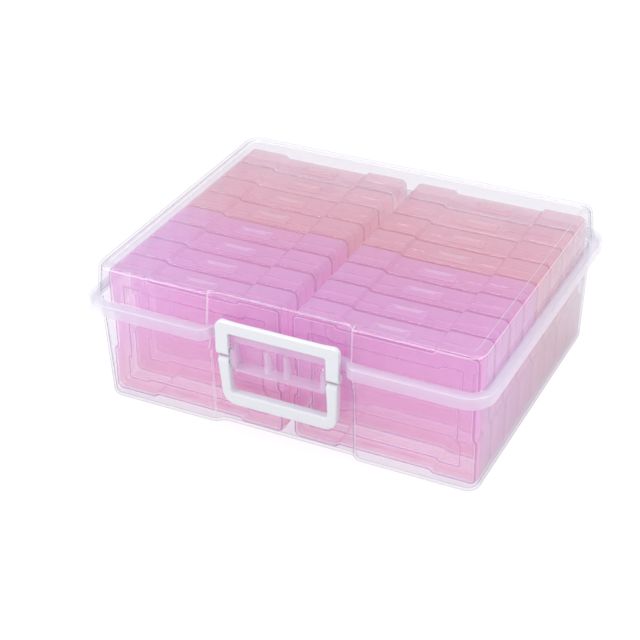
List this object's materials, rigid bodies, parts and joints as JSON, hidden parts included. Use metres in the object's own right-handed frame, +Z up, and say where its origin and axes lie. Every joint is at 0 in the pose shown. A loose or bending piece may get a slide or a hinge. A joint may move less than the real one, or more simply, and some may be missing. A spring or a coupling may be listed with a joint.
{
  "type": "photo keeper case",
  "caption": "Clear carrying case with a hinged lid, a white latch frame and a carry handle, filled with slim pink photo cases that stand in rows.",
  "frame": {"origin": "middle of the closed case's footprint, on the surface it stands on", "axes": "+X along the width to the right as seen from the handle side, +Y from the handle side to the lid hinge, +Z up"},
  "size_m": [0.36, 0.3, 0.13],
  "materials": {
    "clear_shell": "clear, slightly milky moulded polypropylene with glossy walls",
    "white_frame": "opaque white moulded polypropylene, smooth with a soft sheen",
    "orchid_case": "translucent orchid pink moulded polypropylene",
    "salmon_case": "translucent salmon pink moulded polypropylene"
  },
  "bodies": {
    "base": {"outer_base": "clear_shell"},
    "lid": {"outer_lid": "clear_shell"},
    "latch": {"latch_frame": "white_frame"},
    "handle": {"carry_handle": "white_frame"},
    "case_l1": {"case_l1_body": "orchid_case", "case_l1_lid": "orchid_case"},
    "case_l2": {"case_l2_body": "orchid_case", "case_l2_lid": "orchid_case"},
    "case_l3": {"case_l3_body": "orchid_case", "case_l3_lid": "orchid_case"},
    "case_l4": {"case_l4_body": "orchid_case", "case_l4_lid": "orchid_case"},
    "case_l5": {"case_l5_body": "salmon_case", "case_l5_lid": "salmon_case"},
    "case_l6": {"case_l6_body": "salmon_case", "case_l6_lid": "salmon_case"},
    "case_l7": {"case_l7_body": "salmon_case", "case_l7_lid": "salmon_case"},
    "case_l8": {"case_l8_body": "salmon_case", "case_l8_lid": "salmon_case"},
    "case_r1": {"case_r1_body": "orchid_case", "case_r1_lid": "orchid_case"},
    "case_r2": {"case_r2_body": "orchid_case", "case_r2_lid": "orchid_case"},
    "case_r3": {"case_r3_body": "orchid_case", "case_r3_lid": "orchid_case"},
    "case_r4": {"case_r4_body": "orchid_case", "case_r4_lid": "orchid_case"},
    "case_r5": {"case_r5_body": "salmon_case", "case_r5_lid": "salmon_case"},
    "case_r6": {"case_r6_body": "salmon_case", "case_r6_lid": "salmon_case"},
    "case_r7": {"case_r7_body": "salmon_case", "case_r7_lid": "salmon_case"},
    "case_r8": {"case_r8_body": "salmon_case", "case_r8_lid": "salmon_case"}
  },
  "joints": [
    {"name": "lid_hinge", "type": "hinge", "parent": "base", "child": "lid", "pos_m": [0, 0.1455, 0.084], "axis": [-1, 0, 0], "range_deg": [0, 110]},
    {"name": "latch_pivot", "type": "hinge", "parent": "base", "child": "latch", "pos_m": [0, -0.1405, 0.082], "axis": [1, 0, 0], "range_deg": [0, 90]},
    {"name": "handle_swing", "type": "hinge", "parent": "base", "child": "handle", "pos_m": [0, -0.1405, 0.0725], "axis": [-1, 0, 0], "range_deg": [0, 90]},
    {"name": "case_l1_lift", "type": "slide", "parent": "base", "child": "case_l1", "axis": [0, 0, 1], "range_m": [0, 0.003]},
    {"name": "case_l2_lift", "type": "slide", "parent": "base", "child": "case_l2", "axis": [0, 0, 1], "range_m": [0, 0.003]},
    {"name": "case_l3_lift", "type": "slide", "parent": "base", "child": "case_l3", "axis": [0, 0, 1], "range_m": [0, 0.003]},
    {"name": "case_l4_lift", "type": "slide", "parent": "base", "child": "case_l4", "axis": [0, 0, 1], "range_m": [0, 0.003]},
    {"name": "case_l5_lift", "type": "slide", "parent": "base", "child": "case_l5", "axis": [0, 0, 1], "range_m": [0, 0.003]},
    {"name": "case_l6_lift", "type": "slide", "parent": "base", "child": "case_l6", "axis": [0, 0, 1], "range_m": [0, 0.003]},
    {"name": "case_l7_lift", "type": "slide", "parent": "base", "child": "case_l7", "axis": [0, 0, 1], "range_m": [0, 0.003]},
    {"name": "case_l8_lift", "type": "slide", "parent": "base", "child": "case_l8", "axis": [0, 0, 1], "range_m": [0, 0.003]},
    {"name": "case_r1_lift", "type": "slide", "parent": "base", "child": "case_r1", "axis": [0, 0, 1], "range_m": [0, 0.003]},
    {"name": "case_r2_lift", "type": "slide", "parent": "base", "child": "case_r2", "axis": [0, 0, 1], "range_m": [0, 0.003]},
    {"name": "case_r3_lift", "type": "slide", "parent": "base", "child": "case_r3", "axis": [0, 0, 1], "range_m": [0, 0.003]},
    {"name": "case_r4_lift", "type": "slide", "parent": "base", "child": "case_r4", "axis": [0, 0, 1], "range_m": [0, 0.003]},
    {"name": "case_r5_lift", "type": "slide", "parent": "base", "child": "case_r5", "axis": [0, 0, 1], "range_m": [0, 0.003]},
    {"name": "case_r6_lift", "type": "slide", "parent": "base", "child": "case_r6", "axis": [0, 0, 1], "range_m": [0, 0.003]},
    {"name": "case_r7_lift", "type": "slide", "parent": "base", "child": "case_r7", "axis": [0, 0, 1], "range_m": [0, 0.003]},
    {"name": "case_r8_lift", "type": "slide", "parent": "base", "child": "case_r8", "axis": [0, 0, 1], "range_m": [0, 0.003]}
  ]
}
